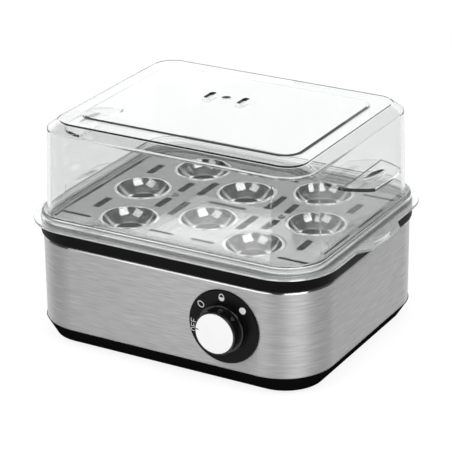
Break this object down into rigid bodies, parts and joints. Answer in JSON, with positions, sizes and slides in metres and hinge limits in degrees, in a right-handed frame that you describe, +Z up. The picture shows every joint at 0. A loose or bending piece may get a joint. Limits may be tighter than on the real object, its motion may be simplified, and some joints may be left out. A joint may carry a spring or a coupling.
{
  "type": "electric egg cooker",
  "caption": "Electric egg cooker: steel body with a front dial, water pan over a ring element, lift-out clear carrier, pressed steel egg rack and clear lift-off lid.",
  "frame": {"origin": "on the table, under the middle of the body", "axes": "+Z up, -Y towards the user (the dial is on the front), +X to the user's right"},
  "size_m": [0.247, 0.201, 0.1592],
  "materials": {
    "black_plastic": "satin moulded",
    "gloss_black": "gloss",
    "cap_white": "satin",
    "foot_rubber": "matte",
    "silicone": "matte",
    "body_steel": "brushed along the body",
    "pan_steel": "satin",
    "rack_steel": "polished pressing",
    "strap_steel": "zinc plated",
    "screw_steel": "zinc plated",
    "element_steel": "annealed sheath",
    "spreader_aluminium": "as cast",
    "shaft_brass": "turned",
    "switch_plastic": "moulded phenolic",
    "block_white": "moulded",
    "lead_brown": "silicone sleeve",
    "lead_blue": "silicone sleeve",
    "lead_green": "silicone sleeve",
    "clear_plastic": "clear moulded plastic"
  },
  "bodies": {
    "base": {"base_tray": "black_plastic", "rubber_feet": "foot_rubber", "steel_wrap": "body_steel", "top_collar": "black_plastic", "base_screws": "screw_steel", "pan_gasket": "silicone", "water_pan": "pan_steel", "heat_spreader": "spreader_aluminium", "heating_element": "element_steel", "pan_strap": "strap_steel", "strap_nut": "screw_steel", "strap_screws": "screw_steel", "boil_dry_thermostat": "switch_plastic", "thermostat_screws": "screw_steel", "control_plate": "strap_steel", "control_body": "switch_plastic", "control_screws": "screw_steel", "dial_bezel": "gloss_black", "cord_gland": "black_plastic", "terminal_block": "block_white", "terminal_screws": "screw_steel", "live_lead": "lead_brown", "link_lead": "lead_brown", "neutral_lead": "lead_blue", "earth_lead": "lead_green", "thermal_fuse": "lead_brown"},
    "dial_knob": {"knob": "gloss_black", "knob_cap": "cap_white", "knob_spring": "screw_steel", "control_shaft": "shaft_brass"},
    "egg_carrier": {"carrier": "clear_plastic"},
    "rack": {"egg_rack": "rack_steel"},
    "cover": {"lid": "clear_plastic"}
  },
  "joints": [
    {"name": "dial_turn", "type": "hinge", "parent": "base", "child": "dial_knob", "pos_m": [0.0485, -0.0911, 0.0447], "axis": [0, 1, 0], "range_deg": [0, 141]},
    {"name": "carrier_lift", "type": "slide", "parent": "base", "child": "egg_carrier", "axis": [0, 0, 1], "range_m": [0, 0.08]},
    {"name": "rack_lift", "type": "slide", "parent": "egg_carrier", "child": "rack", "axis": [0, 0, 1], "range_m": [0, 0.08]},
    {"name": "lid_lift", "type": "slide", "parent": "rack", "child": "cover", "axis": [0, 0, 1], "range_m": [0, 0.1]}
  ]
}
